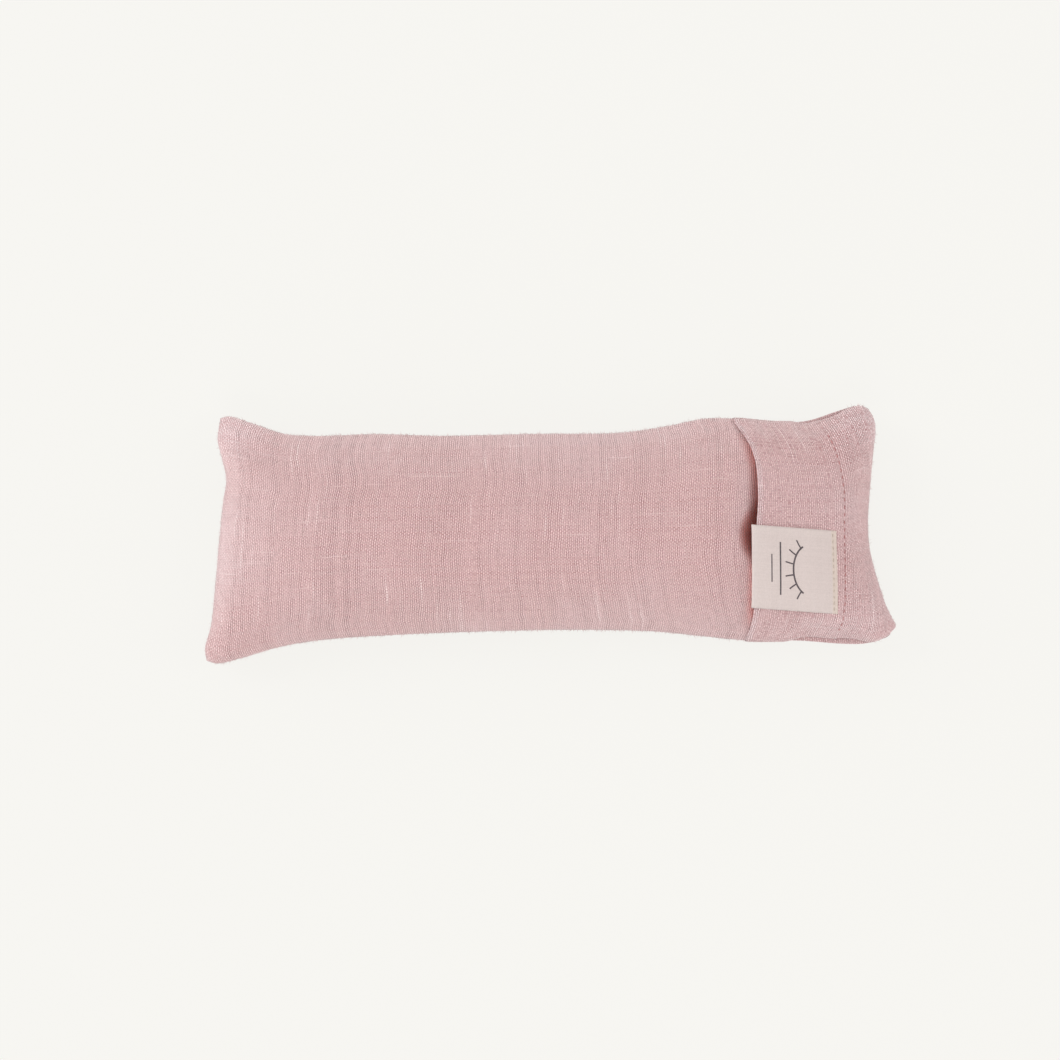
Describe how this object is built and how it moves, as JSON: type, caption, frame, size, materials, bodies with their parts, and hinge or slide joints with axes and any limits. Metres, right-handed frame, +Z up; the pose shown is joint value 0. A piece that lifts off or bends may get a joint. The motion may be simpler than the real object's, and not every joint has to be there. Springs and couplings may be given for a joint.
{
  "type": "eye pillow",
  "caption": "Long soft pillow for the closed eyes: a linen cover with an overlapped mouth and a sewn tape label, round a seed-filled cotton pouch.",
  "frame": {"origin": "on the table, at the middle of the pillow's length and width", "axes": "+X along the length towards the overlapped mouth, +Y across, +Z up"},
  "size_m": [0.25, 0.093, 0.0307],
  "materials": {
    "dyed_linen": "matte plain-weave linen, washed, dusty rose",
    "dyed_thread": "spun polyester sewing thread, dusty rose",
    "tape_cotton": "matte cotton twill tape, cream",
    "ecru_thread": "spun sewing thread, ecru",
    "pouch_cotton": "matte unbleached cotton muslin",
    "pouch_thread": "spun cotton sewing thread, natural",
    "flaxseed": "loose glossy brown flaxseed"
  },
  "bodies": {
    "cover": {"cover_back_panel": "dyed_linen", "cover_front_panel": "dyed_linen", "front_hem_stitch": "dyed_thread", "side_seam_stitch_upper": "dyed_thread", "side_seam_stitch_lower": "dyed_thread"},
    "overlap": {"cover_overlap_panel": "dyed_linen", "overlap_hem_stitch": "dyed_thread", "label_tape": "tape_cotton", "label_stitch": "ecru_thread"},
    "insert": {"pouch_upper_panel": "pouch_cotton", "pouch_lower_panel": "pouch_cotton", "pouch_seam_stitch": "pouch_thread", "pouch_closing_stitch": "pouch_thread", "flaxseed_fill": "flaxseed"}
  },
  "joints": [
    {"name": "flap_lift", "type": "hinge", "parent": "cover", "child": "overlap", "pos_m": [0.1149, 0, 0.009], "axis": [0, 1, 0], "range_deg": [0, 24], "deforming": ["cover_overlap_panel"]},
    {"name": "insert_pull", "type": "slide", "parent": "cover", "child": "insert", "axis": [1, 0, 0], "range_m": [0, 0.26], "deforming": ["cover_overlap_panel", "cover_back_panel", "cover_front_panel", "front_hem_stitch", "overlap_hem_stitch", "side_seam_stitch_upper", "side_seam_stitch_lower", "label_tape", "label_stitch"]}
  ]
}
